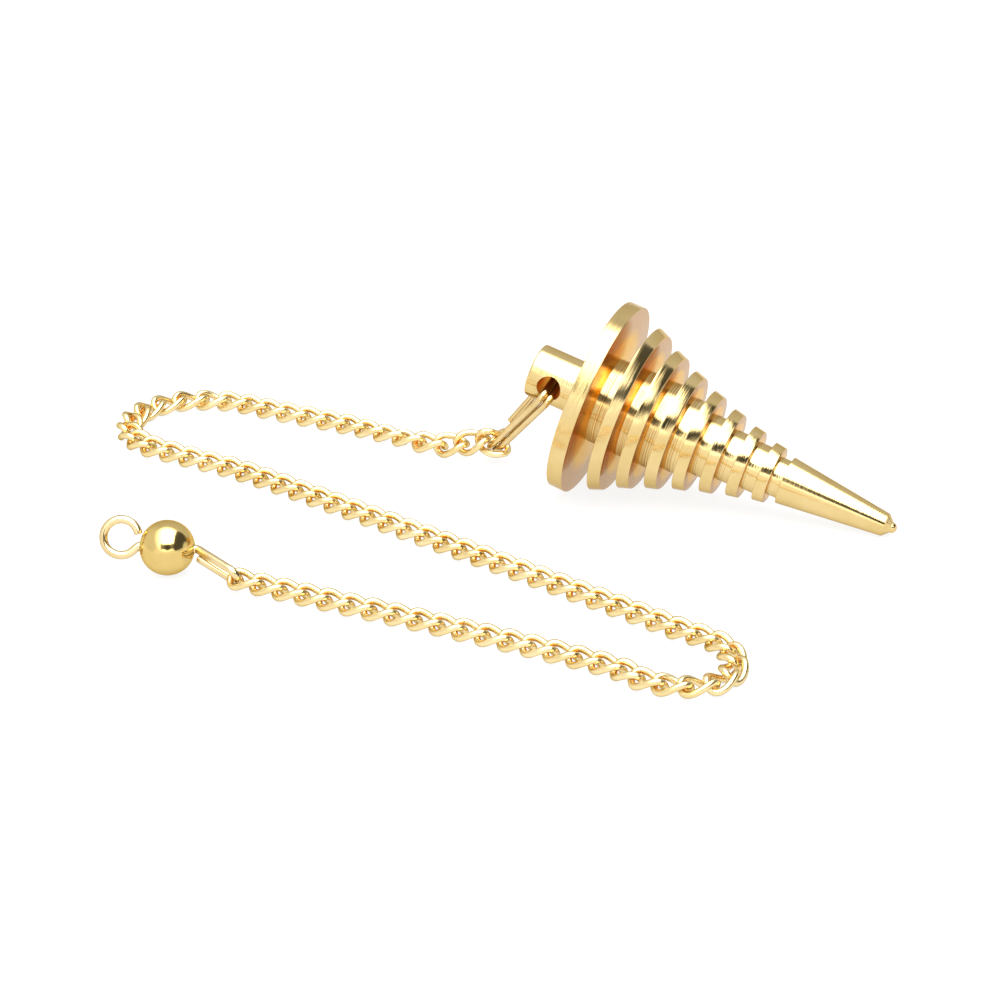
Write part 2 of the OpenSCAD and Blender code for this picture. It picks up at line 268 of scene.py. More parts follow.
# Four corners a disc follow the neck's three: two of the rim and two of the core after it.
first, last = 3, 3 + 4 * discs
edge = np.full(len(outline), PLAIN_EDGE)
edge[[0, 2]], edge[1] = 0, NECK_EDGE
edge[first:last:4] = edge[first + 1:last:4] = RIM_EDGE
edge[-3] = edge[-2] = CONE_EDGE
edge[-1] = NUB_EDGE
in_groove = np.zeros(len(outline))
in_groove[first + 2:last:4] = in_groove[first + 3:last:4] = 1
print(f"{len(outline)} corners, {int(in_groove.sum())} of them at the bottom of a groove")

# %% [markdown]
# ## The whole profile
#
# The nub is the small ball that is left when a piece is parted from the bar and its end is rounded
# off. Points that fall on one another, where an edge has no rounding, are dropped.

# %% Profile and nub
nub_angle = np.radians(np.linspace(8, 90, 9))
nub = np.stack([bob_len - NUB_D / 2 * (1 - np.sin(nub_angle)), NUB_D / 2 * np.cos(nub_angle)], -1)
profile = np.concatenate([rounded(outline, edge), nub])
groove_share = np.concatenate([np.repeat(in_groove, CORNER_STEPS), np.zeros(len(nub))])
SAME_SPOT = 1e-4
keep = np.append(True, np.linalg.norm(np.diff(profile, axis=0), axis=1) > SAME_SPOT)
profile, groove_share = profile[keep], groove_share[keep]
profile[0, 1] = profile[-1, 1] = 0
print(f"bob: {len(profile)} profile points")

# %% [markdown]
# ## The bob, lying on the table
#
# A turned piece looks turned because its edges are round and its faces carry fine rings. The
# rings are far thinner than a millimetre, so they are left to the finish; the edges are real. The
# bob lies on the widest disc's edge and on the cone's small end, and the same arithmetic as in the
# construction model gives its slope.

# %% The bob's place and its mesh
TOUCH_INSET = 0.12  # from the widest disc's corner to where its rounded edge meets the table
BOB_YAW, NECK_X, NECK_Y = -22, 4.5, 16.4
touch_at = NECK_LEN + TOP_DISC - TOUCH_INSET
lie = np.degrees(np.arctan2(disc_r[0] - TIP_D / 2, cone_end - touch_at))
neck_z = touch_at * np.sin(np.radians(lie)) + disc_r[0] * np.cos(np.radians(lie))
neck_at = np.array([NECK_X, NECK_Y, neck_z])
bob_turn = turn("z", BOB_YAW) @ turn("y", 90 + lie)
bob_axis = bob_turn @ [0, 0, 1]

BOB_AROUND = 224
bob = mesh_piece("turned_bob", turned(profile, BOB_AROUND) @ bob_turn.T + neck_at,
                 grid_faces(len(profile), BOB_AROUND), np.repeat(groove_share, BOB_AROUND))
print(f"the bob slopes {lie:.2f} degrees")

# %% [markdown]
# ## The hole through the neck
#
# The real one is turned first and drilled across afterwards, and a Boolean does the same. It keeps
# the round mouths of the hole exact, where a grid bent round a hole would be lumpy. The result is
# kept as a plain mesh, with no modifier left on it.

# %% Drill the neck
BORE_D, BORE_AT, DRILL_REACH, DRILL_ROWS, DRILL_AROUND = 2.8, 2.75, 4.5, 25, 96
bore_mid = neck_at + BORE_AT * bob_axis
drill_side = np.stack([np.linspace(-DRILL_REACH, DRILL_REACH, DRILL_ROWS),
                       np.full(DRILL_ROWS, BORE_D / 2)], -1)
drill_profile = np.concatenate([[[-DRILL_REACH, 0]], drill_side, [[DRILL_REACH, 0]]])
drill_turn = turn("z", BOB_YAW) @ turn("x", 90)
drill = mesh_piece("drill", turned(drill_profile, DRILL_AROUND) @ drill_turn.T + bore_mid,
                   grid_faces(len(drill_profile), DRILL_AROUND))


def cut(piece, tool):
    """Takes the tool's volume out of the piece and keeps the result as a plain mesh."""
    step = piece.modifiers.new("cut", "BOOLEAN")
    step.object, step.operation, step.solver = tool, "DIFFERENCE", "EXACT"
    done = piece.evaluated_get(bpy.context.evaluated_depsgraph_get())
    mesh = bpy.data.meshes.new_from_object(done)
    piece.modifiers.clear()
    piece.data = mesh
    bpy.data.objects.remove(tool)
    shade_smooth(mesh)
    print(f"{piece.name}: {len(mesh.polygons)} faces after the cut")


cut(bob, drill)

# %% [markdown]
# ## Telling the hole's wall from the rest
#
# The wall of a drilled hole is rough, and it has its own finish: a rougher gloss, and an amber that
# paints the light bouncing about inside the hole. The Boolean gives its new points no depth of
# their own, so the points that lie on the wall are found by their distance from the hole's axis and
# are given a depth that no groove has.

# %% Mark the hole's wall
HOLE_DEPTH = 2
ON_WALL, FROM_MOUTH = 0.01, 0.02  # in mm, how near to the wall and how far inside a mouth
spots, point_depth = np.empty(3 * len(bob.data.vertices)), np.empty(len(bob.data.vertices))
bob.data.vertices.foreach_get("co", spots)
bob.data.attributes["depth"].data.foreach_get("value", point_depth)
spots = spots.reshape(-1, 3) / MM - bore_mid
off_hole = np.linalg.norm(np.cross(spots, drill_turn @ [0, 0, 1]), axis=1)
off_bob = np.linalg.norm(np.cross(spots, bob_axis), axis=1)
in_hole = (np.abs(off_hole - BORE_D / 2) < ON_WALL) & (off_bob < NECK_D / 2 - FROM_MOUTH)
point_depth[in_hole] = HOLE_DEPTH
bob.data.attributes["depth"].data.foreach_set("value", point_depth.astype(np.float32))
print(f"{in_hole.sum()} points lie on the hole's wall")

# %% [markdown]
# ## The bail
#
# The bail is one wire wound twice, so its two windings lie side by side in front. On the back leg
# it steps from one winding's lane to the other, and one cut end lies there; the other is in the
# far turn. It is a path in its own flat plane, over the bore and round the turn, with the lane as
# the third number.

# %% The bail's sizes and its two ends
BAIL_WIRE, WINDING_GAP, BAIL_LEN, BAIL_CLEAR = 0.78, 0.04, 14.1, 0.45
SHOULDER_R, TURN_R = 0.8, 1.05
shoulder_y = NECK_D / 2 + BAIL_CLEAR + BAIL_WIRE / 2 - SHOULDER_R
turn_drop = BAIL_LEN - TURN_R
drop = turn_drop - SHOULDER_R
# A leg touches both circles, so it leans by the angle between their middles, less a little for
# the difference of their sizes.
leg_lean = np.degrees(np.arctan2(shoulder_y, drop)
                      - np.arcsin((TURN_R - SHOULDER_R) / np.hypot(shoulder_y, drop)))
lane = np.array([0, 0, (BAIL_WIRE + WINDING_GAP) / 2])
over_bore = np.concatenate([
    arc([shoulder_y, -SHOULDER_R], SHOULDER_R, -leg_lean, 90, 14),
    arc([-shoulder_y, -SHOULDER_R], SHOULDER_R, 90, 180 + leg_lean, 14)])
far_turn = arc([0, -turn_drop], TURN_R, 180 + leg_lean, 360 - leg_lean, 30)
print(f"the bail's legs lean {leg_lean:.2f} degrees")

# %% [markdown]
# ## The bail's path
#
# Seen from its own front, the wire goes up the back leg, over the bore, down and round the far
# turn, and then does it again one lane further over. On the back leg a number u runs from the far
# turn at 0 to the bore at 1. The step between the lanes is half a cosine wave, so the wire leaves
# one lane and enters the other without a kink.

# %% The path and the wire
STEP_FROM, STEP_TO, END_HIGH, END_NEAR_BORE = 0.015, 0.155, 0.2, 0.98
LAST_TURN_END, LAST_TURN_LEAN = 306, 0.4  # where the cut end lies in the far turn
BAIL_SWING, BAIL_TURN, BAIL_LEAN = 37.4, 7.6, 10.7
top, foot = over_bore[0], far_turn[-1]
u = np.linspace(STEP_FROM, STEP_TO, 12)[:, None]
across_lanes = -np.cos(np.pi * (u - STEP_FROM) / (STEP_TO - STEP_FROM))
last_turn = arc([0, -turn_drop], TURN_R, 180 + leg_lean,
                LAST_TURN_END - LAST_TURN_LEAN * leg_lean, 22)
bail_path = np.concatenate([
    foot + np.linspace(END_HIGH, END_NEAR_BORE, 14)[:, None] * (top - foot) - lane,
    over_bore - lane,
    far_turn - lane,
    foot + u * (top - foot) + across_lanes * lane,
    over_bore + lane,
    last_turn + lane])
bail_turn = (turn("z", BOB_YAW) @ turn("y", BAIL_SWING) @ turn("z", BAIL_TURN)
             @ turn("x", BAIL_LEAN) @ turn("z", 90) @ turn("x", 90))
bail_points, bail_faces = wire(bail_path, BAIL_WIRE / 2, np.array([0.0, 0, 1]))
bail = mesh_piece("bail_wire", bail_points @ bail_turn.T + bore_mid, bail_faces)

# %% [markdown]
# ## The chain's route
#
# The chain lies on the table in two turns. It follows a smooth curve through a few chosen points,
# and every link's place comes from its distance along that curve, so the links stay evenly spaced
# however the points are moved. Near the bail the chain climbs and its links roll up.

# %% The route on the table
ROUTE = np.array([
    # x, y, height of the middle, roll towards the viewer in degrees
    [-0.25, 19.75, 2.30, 51], [-1.4, 20.15, 2.53, 45], [-5.05, 21.3, 1.46, 32],
    [-9.5, 23.3, 1.15, -13], [-17.5, 28.2, 0.95, 0], [-25.1, 31.7, 0.95, 0],
    [-30.4, 34.2, 0.95, 0], [-35.2, 34.6, 0.95, 0], [-39.0, 33.05, 0.95, 0],
    [-41.3, 29.95, 0.97, 1], [-41.65, 25.9, 0.96, 0], [-39.4, 22.1, 1.09, 7],
    [-34.1, 19.0, 0.95, 1], [-27.3, 14.8, 0.95, 0], [-12.2, 2.9, 0.95, 0],
    [11.8, -16.5, 0.95, 0], [18.6, -22.2, 0.98, 0], [22.2, -25.4, 1.18, -2],
    [23.8, -28.6, 1.22, -6], [23.6, -32.0, 1.10, 3], [21.4, -34.3, 1.08, -7],
    [17.9, -34.6, 1.06, -4], [14.5, -33.0, 1.00, -2], [10.6, -29.7, 0.95, 0],
    [-3.5, -22.4, 0.95, 0], [-20.8, -14.45, 1.10, 1], [-25.9, -12.2, 1.25, -2]])
padded = np.concatenate([ROUTE[:1], ROUTE, ROUTE[-1:]])[:, None]
p, q, r, s = padded[:-3], padded[1:-2], padded[2:-1], padded[3:]
v = np.linspace(0, 1, 12, endpoint=False)[None, :, None]
# The smooth curve through the points: on the stretch from q to r, with neighbours p and s, half of
# 2q + (r-p)v + (2p-5q+4r-s)vv + (3q-p-3r+s)vvv, with v from 0 to 1.
curve = 0.5 * (2 * q + (r - p) * v + (2 * p - 5 * q + 4 * r - s) * v ** 2
               + (3 * q - p - 3 * r + s) * v ** 3)
curve = np.concatenate([curve.reshape(-1, 4), ROUTE[-1:]])
run = np.append(0, np.cumsum(np.linalg.norm(np.diff(curve[:, :3], axis=0), axis=1)))


def on_route(at):
    """x, y, z and roll at each given distance along the curve, by straight lines between points."""
    return np.stack([np.interp(at, run, curve[:, c]) for c in range(4)], -1)


LINK_WIRE, LINK_LEN, LINK_W, LINK_PLAY = 0.75, 4.45, 3.1, 0.36
links = 1 + int(np.floor(run[-1] / (LINK_LEN - 2 * LINK_WIRE - LINK_PLAY) + 0.5))
link_at = np.linspace(0, run[-1], links)
print(f"the chain is {run[-1]:.1f} mm along its middle, "
      f"with {links} links {link_at[1]:.2f} mm apart")

# %% [markdown]
# ## One link
#
# A curb chain's links are ovals of round wire, twisted so that they lie flat beside each other. The
# link is one closed path: an oval fuller than an ellipse, turned about its length from one end to
# the other. There are many links, so each has only a few hundred faces.

# %% A twisted oval of wire
LINK_TWIST, LINK_FULL, LINK_AROUND, LINK_STEPS = 102, 2.5, 12, 40


def oval(t):
    """The link's centre line at angle t: along its length a full(cos t), and out from its middle
    b full(sin t), where full(v) keeps v's sign and raises its size to 2/fullness, so the ends are
    squarer than an ellipse's. The way out turns about the length by half the twist times
    full(cos t), from one end of the link to the other. Gives the points and, at each, the
    direction across the oval."""
    full_cos = np.sign(np.cos(t)) * np.abs(np.cos(t)) ** (2 / LINK_FULL)
    full_sin = np.sign(np.sin(t)) * np.abs(np.sin(t)) ** (2 / LINK_FULL)
    twist = -np.radians(LINK_TWIST / 2) * full_cos
    out = (LINK_W - LINK_WIRE) / 2 * full_sin
    points = np.stack([(LINK_LEN - LINK_WIRE) / 2 * full_cos, out * np.cos(twist),
                       out * np.sin(twist)], -1)
    return points, np.stack([0 * t, -np.sin(twist), np.cos(twist)], -1)


t = np.linspace(0, 2 * np.pi, LINK_STEPS, endpoint=False)
centre, across = oval(t)
way = unit(oval(t + 0.01)[0] - oval(t - 0.01)[0])
outward = unit(np.cross(way, across))
a = np.linspace(0, 2 * np.pi, LINK_AROUND, endpoint=False)
ring = (np.cos(a)[:, None] * outward[:, None]
        + np.sin(a)[:, None] * np.cross(outward, way)[:, None])
link = (centre[:, None] + LINK_WIRE / 2 * ring).reshape(-1, 3)
print(f"a link measures {np.ptp(link, axis=0).round(2)} mm, twisted")

# %% [markdown]
# ## The whole chain
#
# All the links are worked out at once, as one array of link, point along the oval, and corner of
# the wire. Each has its own axes: along the curve, level across it, and up, then rolled about its
# length. The links are one mesh of many closed rings, which never touch.

# %% All the links, and the depth inside them
LOOK_AHEAD = 0.6  # how far to each side of a link the curve is read for its direction
middle = on_route(link_at)
ahead = unit(on_route(np.minimum(link_at + LOOK_AHEAD, run[-1]))[:, :3]
             - on_route(np.maximum(link_at - LOOK_AHEAD, 0))[:, :3])
level = unit(np.cross([0.0, 0, 1], ahead))
up = np.cross(ahead, level)
roll = np.radians(middle[:, 3] * np.where(ahead[:, 0] > 0, 1, -1))[:, None]
axes = np.stack([ahead, np.cos(roll) * level + np.sin(roll) * up,
                 np.cos(roll) * up - np.sin(roll) * level], 1)
chain_points = np.einsum("pc,lcx->lpx", link, axes) + middle[:, None, :3]
chain_faces = (grid_faces(LINK_STEPS, LINK_AROUND, along_closes=True)[None]
               + len(link) * np.arange(links)[:, None, None])
# The depth is 1 inside a link's two ends, where the wire faces the link's middle, and falls to 0
# halfway to that middle and on the outer half of the wire. The chain's finish paints an amber
# reflection by it.
at_end = np.clip(2 * np.abs(centre[:, :1]) / centre[:, 0].max() - 1, 0, 1)
inner_depth = (at_end * np.maximum(-np.cos(a), 0)).reshape(-1)
chain = mesh_piece("curb_chain", chain_points.reshape(-1, 3), chain_faces.reshape(-1, 4),
                   np.tile(inner_depth, links))

# %% [markdown]
# ## The bead
#
# The bead is a ball with a hole through it, so its profile is an arc that turns in at a small
# rounded lip and runs back through the hole. The profile closes on itself, like a ring's, and so
# there are no poles.

# %% A drilled ball
BEAD_D, BEAD_BORE, LIP, LIP_SHARE, BEAD_AROUND = 5.9, 1.2, 0.09, 0.9, 128
BEAD_AT = np.array([-34.5, -7.7, BEAD_D / 2])
PIN_YAW = -7
mouth = np.degrees(np.arcsin((BEAD_BORE / 2 + LIP) / (BEAD_D / 2)))
ball = np.radians(np.linspace(mouth, 180 - mouth, 90))
outer = np.stack([-np.cos(ball), np.sin(ball)], -1) * BEAD_D / 2
lip = np.radians(np.linspace(0, 90, 6))[1:]
lip_end = np.stack([outer[-1, 0] - LIP * np.sin(lip) * LIP_SHARE,
                    outer[-1, 1] - LIP * (1 - np.cos(lip))], -1)
hole_wall = np.stack([np.linspace(lip_end[-1, 0], -lip_end[-1, 0], 8)[1:-1],
                      np.full(6, BEAD_BORE / 2)], -1)
bead_profile = np.concatenate([outer, lip_end, hole_wall, lip_end[::-1] * [-1, 1]])
bead_turn = turn("z", PIN_YAW) @ turn("y", 90)
bead = mesh_piece("drilled_bead", turned(bead_profile, BEAD_AROUND) @ bead_turn.T + BEAD_AT,
                  grid_faces(len(bead_profile), BEAD_AROUND, along_closes=True))

# %% [markdown]
# ## The pin
#
# The pin is one wire: an open ring outside the bead, a straight run through the hole, and a flat
# loop that the chain's last link hangs in. Round-nosed pliers bend it, so it is made of arcs and
# straights, with small curves where one turns into the next.

# %% The pin's arcs
PIN_WIRE, RING_ID, RING_CLEAR, RING_UP = 0.9, 2.9, 0.15, 0.43
RING_FROM, RING_LEAVE, RING_FACE = 17, 310, 26
LOOP_LEN, LOOP_W, LOOP_YAW, LOOP_DROP, LOOP_ROLL = 6.7, 1.4, -39, 17, -60
TAIL_END = [0.5, 0, -0.95]  # the loop's cut end, beside the bead
SHANK_TO_RING, SHANK_TO_LOOP = 0.15, 0.3  # how far the straight run shows outside the bead
ring_r = (RING_ID + PIN_WIRE) / 2
ring_mid = [-(BEAD_D / 2 + ring_r + RING_CLEAR), ring_r * RING_UP]
loop_r = (LOOP_W + PIN_WIRE) / 2
loop_mid = LOOP_LEN - loop_r - PIN_WIRE / 2
pin_start = np.array([-(BEAD_D / 2 + SHANK_TO_RING), 0, 0])
pin_end = np.array([BEAD_D / 2 + SHANK_TO_LOOP, 0, 0])
ring_tilt, loop_tilt = turn("x", 90 - RING_FACE), turn("x", LOOP_ROLL)
loop_hang = turn("z", LOOP_YAW - PIN_YAW) @ turn("y", LOOP_DROP)
open_ring = arc(ring_mid, ring_r, RING_FROM, RING_LEAVE, 70) @ ring_tilt.T
loop = np.concatenate([arc([loop_mid, 0], loop_r, -90, 90, 28) @ loop_tilt.T, [TAIL_END]])
loop = loop @ loop_hang.T + pin_end
print(f"the ring is {RING_ID} mm inside, with a gap of {360 - RING_LEAVE + RING_FROM} degrees")

# %% [markdown]
# ## The pin's path
#
# The arcs are joined by straight runs. Across the wire, the ring's own normal is used on the ring
# and the loop's on the loop, with a short change from one to the other inside the bead, where it
# can't be seen.

# %% The path and the wire of the pin
BEND_REACH, BEND_STEPS, TWIST_OVER = 0.25, 7, 12


def bend(before, at, after):
    """A corner made round, as the bob's are: it starts and ends BEND_REACH away from the corner."""
    u = np.linspace(0, 1, BEND_STEPS)[:, None]
    return corner_curve(at + BEND_REACH * unit(before - at), at,
                        at + BEND_REACH * unit(after - at), u)


def between(start, end, steps):
    """Points on the straight from start to end, without the start."""
    return start + np.linspace(0, 1, steps)[1:, None] * (end - start)


into = bend(open_ring[-1], pin_start, np.zeros(3))
out_of = bend(np.zeros(3), pin_end, loop[0])
pin_path = np.concatenate([
    open_ring, into, between(into[-1], out_of[0], 14)[:-1], out_of,
    between(out_of[-1], loop[0], 10)[:-1], loop[:-1], between(loop[-2], loop[-1], 10)])
ring_across, loop_across = ring_tilt @ [0, 0, 1], -(loop_hang @ loop_tilt @ [0, 0, 1])
steps_in = np.arange(len(pin_path)) - len(open_ring) - BEND_STEPS
share = np.clip(steps_in / TWIST_OVER, 0, 1)[:, None]
pin_across = (1 - share) * ring_across + share * loop_across
pin_points, pin_faces = wire(pin_path, PIN_WIRE / 2, pin_across)
eye_pin = mesh_piece("bent_eye_pin", pin_points @ turn("z", PIN_YAW).T + BEAD_AT, pin_faces)

# %% [markdown]
# ## The finishes
#
# Polished brass has no colour of its own besides what it reflects, warmed by the metal. So a good
# brass is mostly a good room: the shader is a plain metal, and its life comes from small changes in
# tint and gloss, and from the fine marks of tool and wear. All of these are nodes on the object's
# own coordinates, so they stay where they are when the view or the scene changes.

# %% Small helpers for nodes
def added(tree, kind, **values):
    """A new shader node, with each named input set. An underscore stands for a space."""
    node = tree.nodes.new("ShaderNode" + kind)
    for name, value in values.items():
        node.inputs[name.replace("_", " ")].default_value = value
    return node


def rise(tree, value, low, high, to_low=0.0, to_high=1.0, smooth=False):
    """What rises in a straight line from to_low, where value is low, to to_high, where it is high,
    or on a smooth step between them."""
    node = added(tree, "MapRange", From_Min=low, From_Max=high, To_Min=to_low, To_Max=to_high)
    node.interpolation_type = "SMOOTHSTEP" if smooth else "LINEAR"
    tree.links.new(value, node.inputs["Value"])
    return node.outputs["Result"]


def product(tree, a, b):
    """a times b."""
    node = added(tree, "Math")
    node.operation = "MULTIPLY"
    tree.links.new(a, node.inputs[0])
    tree.links.new(b, node.inputs[1])
    return node.outputs["Value"]


def along(tree, vector, way):
    """How far a vector points along a given direction: the two vectors' dot product."""
    node = added(tree, "VectorMath")
    node.operation = "DOT_PRODUCT"
    node.inputs[1].default_value = way
    tree.links.new(vector, node.inputs[0])
    return node.outputs["Value"]


def ramp(tree, value, *stops):
    """A colour that runs between the given stops, each a position and a colour."""
    node = added(tree, "ValToRGB")
    node.color_ramp.elements[0].position, node.color_ramp.elements[1].position = (
        stops[0][0], stops[-1][0])
    for position, _ in stops[1:-1]:
        node.color_ramp.elements.new(position)
    for element, (_, colour) in zip(node.color_ramp.elements, stops):
        element.color = (*colour, 1)
    tree.links.new(value, node.inputs["Fac"])
    return node.outputs["Color"]


print("five helpers for nodes: added, rise, product, along and ramp")

# %% [markdown]
# ## A brass from nodes
#
# Every brass here is the same metal with its own numbers: three close tints that drift over a few
# millimetres, a gloss that drifts with them, and the tint that metal takes at a grazing angle,
# which is greyer on wire that has been handled.

# %% The metal, its bump, and a way to lay one finish over another
TINT_SCALE = 260.0


def metal(name, deep, mid, pale, gloss, edge_tint):
    """A polished metal whose colour runs between three close tints, and whose roughness runs
    between the two numbers in gloss, both by soft noise of a few millimetres. The edge tint is
    what it reflects where it is seen almost edge on. Gives the material with its node tree, its
    shader and its object coordinates."""
    material = bpy.data.materials.new(name)
    material.use_nodes = True
    tree = material.node_tree
    shader = tree.nodes["Principled BSDF"]
    shader.inputs["Metallic"].default_value = 1.0
    shader.inputs["Specular Tint"].default_value = (*edge_tint, 1)
    place = added(tree, "TexCoord").outputs["Object"]
    cloud = added(tree, "TexNoise", Scale=TINT_SCALE, Detail=4)
    tree.links.new(place, cloud.inputs["Vector"])
    tint = ramp(tree, cloud.outputs["Fac"], (0.28, deep), (0.5, mid), (0.72, pale))
    tree.links.new(tint, shader.inputs["Base Color"])
    tree.links.new(rise(tree, cloud.outputs["Fac"], 0.3, 0.7, *gloss), shader.inputs["Roughness"])
    return material, tree, shader, place


def ripple(tree, shader, height, depth, strength):
    """Bump from a height output: depth is the real depth of the marks in metres."""
    bump = added(tree, "Bump", Distance=depth, Strength=strength)
    tree.links.new(height, bump.inputs["Height"])
    tree.links.new(bump.outputs["Normal"], shader.inputs["Normal"])
    return bump


def laid_over(tree, kind, socket, mask, other):
    """Puts other in place of what feeds the socket, as far as the mask goes. Other is a number, a
    colour, or the output of a node."""
    mix = added(tree, "Mix")
    mix.data_type = kind
    factor, under, over = (i for i in mix.inputs if i.enabled)
    tree.links.new(socket.links[0].from_socket, under)
    tree.links.new(mask, factor)
    if isinstance(other, (float, tuple)):
        over.default_value = other
    else:
        tree.links.new(other, over)
    tree.links.new(next(o for o in mix.outputs if o.enabled), socket)


def finished(tree, shader, mask, colour, roughness):
    """Gives the shader another colour and roughness as far as the mask goes."""
    laid_over(tree, "RGBA", shader.inputs["Base Color"], mask, colour)
    laid_over(tree, "FLOAT", shader.inputs["Roughness"], mask, roughness)


MARK_DEPTH = 0.00003
print(f"the tints drift over about {1000 / TINT_SCALE:.0f} mm, and marks are {MARK_DEPTH / MM} mm")

# %% [markdown]
# ## The bob's turning rings
#
# A lathe tool leaves rings round the axis. A Mapping node turns the object's coordinates to that
# axis. The noise then reads only two numbers, the distance from the axis and the place along it,
# so that it is the same all the way round, and that is what a ring is.

# %% Rings on the bob
RING_SCALE, CHATTER_DEPTH = 7000, 0.0001
turned_brass, tree, shader, place = metal(
    "turned brass", deep=(0.67, 0.49, 0.20), mid=(0.72, 0.54, 0.24), pale=(0.77, 0.59, 0.29),
    gloss=(0.05, 0.11), edge_tint=(0.72, 0.63, 0.50))
to_axis = added(tree, "Mapping")
to_axis.vector_type = "TEXTURE"
to_axis.inputs["Location"].default_value = neck_at * MM
to_axis.inputs["Rotation"].default_value = np.radians([0, 90 + lie, BOB_YAW])
apart, flat, rings = (added(tree, kind) for kind in ("SeparateXYZ", "CombineXYZ", "CombineXYZ"))
from_axis = added(tree, "VectorMath")
from_axis.operation = "LENGTH"
marks = added(tree, "TexNoise", Scale=RING_SCALE, Detail=3)
marks.noise_dimensions = "2D"
for start, end in [
        (place, to_axis.inputs["Vector"]), (to_axis.outputs["Vector"], apart.inputs["Vector"]),
        (apart.outputs["X"], flat.inputs["X"]), (apart.outputs["Y"], flat.inputs["Y"]),
        (flat.outputs["Vector"], from_axis.inputs[0]),
        (from_axis.outputs["Value"], rings.inputs["X"]), (apart.outputs["Z"], rings.inputs["Y"]),
        (rings.outputs["Vector"], marks.inputs["Vector"])]:
    tree.links.new(start, end)
bump = ripple(tree, shader, marks.outputs["Fac"], MARK_DEPTH, 0.7)
# The tool chattered a little on the widest rim, 11 mm from the axis, so its rings are deeper there.
tree.links.new(
    rise(tree, from_axis.outputs["Value"], 0.0107, 0.0109, MARK_DEPTH, CHATTER_DEPTH),
    bump.inputs["Distance"])
print(f"{turned_brass.name}: {len(tree.nodes)} nodes")

# %% [markdown]
# ## Amber in the grooves
#
# In the picture the grooves glow amber, while the rims are pale. That amber is light that goes from
# face to face in a groove, and here it is a painted reflection: a deeper base colour that follows
# the depth attribute paints that bounced light from the front, and lets the rims stay pale. It may
# be lacquer that gathered there, or light that goes from face to face. A face is found by its
# normal, which lies along the bob's axis, one way or the other.

# %% Painted bounce light on the faces of the discs and on the wall of the hole
FLAT_FROM, FLAT_TO = 0.8, 0.98  # how nearly a face's normal lies along the bob's axis
groove_depth = added(tree, "Attribute")
groove_depth.attribute_name = "depth"
groove_depth = groove_depth.outputs["Fac"]
flatness = along(tree, added(tree, "NewGeometry").outputs["Normal"], bob_axis)
# On the side of the tip a face is duller than a rim. Its colour is a painted reflection: a little
# pinker outside, for pinkish surroundings, and amber at the core, for light bounced in the groove.
painted_face_reflection = ramp(tree, groove_depth, (0.36, (0.66, 0.45, 0.33)), (0.6, (0.98, 0.60, 0.13)))
finished(tree, shader, rise(tree, flatness, FLAT_FROM, FLAT_TO), painted_face_reflection, 0.10)
# In a groove the face towards the neck has the deeper colour almost to its rim, as painted bounce
# light. It shows as amber, a painted reflection, in the face that it stands against.
painted_bounce_on_back = product(tree, rise(tree, flatness, -FLAT_FROM, -FLAT_TO),
                  rise(tree, groove_depth, 0.05, 0.25))
finished(tree, shader, painted_bounce_on_back, (0.98, 0.57, 0.10, 1.0), 0.25)
# The hole is bored and not polished, so its wall, with the depth of 2, is rough. Its deep amber is
# painted light, for the light that bounces about inside the hole.
finished(tree, shader, rise(tree, groove_depth, 1.2, 1.8), (1.0, 0.5, 0.1, 1.0), 0.35)
print(f"{turned_brass.name}: {len(tree.nodes)} nodes with its faces and its hole")

# %% [markdown]
# ## The wires' and the bead's brass
#
# Wire and beads are tumbled and not turned, so they carry soft dents and hairline marks with no
# direction, and plain noise is enough. Each has its own tints, because bought parts never match
# exactly.

# %% Four handled brasses
def handled(name, mark_scale, strength, **tints):
    """Brass that was tumbled and handled: soft dents and hairline marks from noise."""
    material, tree, shader, place = metal(name, **tints)
    marks = added(tree, "TexNoise", Scale=mark_scale, Detail=5)
    tree.links.new(place, marks.inputs["Vector"])
    ripple(tree, shader, marks.outputs["Fac"], MARK_DEPTH, strength)
    print(f"{name}: {len(tree.nodes)} nodes")
    return material


bail_brass = handled(
    "bail brass", 900, 0.25, deep=(0.68, 0.50, 0.23), mid=(0.75, 0.57, 0.29),
    pale=(0.82, 0.66, 0.37), gloss=(0.15, 0.24), edge_tint=(0.48, 0.42, 0.32))
chain_brass = handled(
    "chain brass", 1100, 0.3, deep=(0.76, 0.58, 0.26), mid=(0.83, 0.66, 0.34),
    pale=(0.89, 0.74, 0.43), gloss=(0.23, 0.31), edge_tint=(0.48, 0.39, 0.22))
bead_brass = handled(
    "bead brass", 500, 0.25, deep=(0.66, 0.47, 0.16), mid=(0.72, 0.53, 0.20),
    pale=(0.78, 0.59, 0.26), gloss=(0.10, 0.18), edge_tint=(0.7, 0.6, 0.4))
pin_brass = handled(
    "pin brass", 900, 0.25, deep=(0.70, 0.53, 0.26), mid=(0.77, 0.60, 0.32),
    pale=(0.84, 0.68, 0.40), gloss=(0.16, 0.24), edge_tint=(0.42, 0.38, 0.30))

# %% [markdown]
# ## Painted reflection inside the links
#
# The chain's crevices are amber in the picture too, where one link's end is seen inside the next.
# That amber is light bounced from link to link, and it is painted the same way: the depth
# attribute of the chain is high there, and the colour follows it.

# %% Painted amber inside the links' ends
tree = chain_brass.node_tree
painted_bounce_depth = added(tree, "Attribute")
painted_bounce_depth.attribute_name = "depth"
# A painted reflection: amber colour where the wire faces the inside of a link's end.
laid_over(tree, "RGBA", tree.nodes["Principled BSDF"].inputs["Base Color"],
          rise(tree, painted_bounce_depth.outputs["Fac"], 0.1, 0.6), (0.94, 0.56, 0.17, 1.0))
print(f"{chain_brass.name}: {len(tree.nodes)} nodes with the inside of its links")

# %% [markdown]
# ## Each piece takes its node's place
#
# Every piece replaces the solid of the same name and rides on the one body that lies on the table.

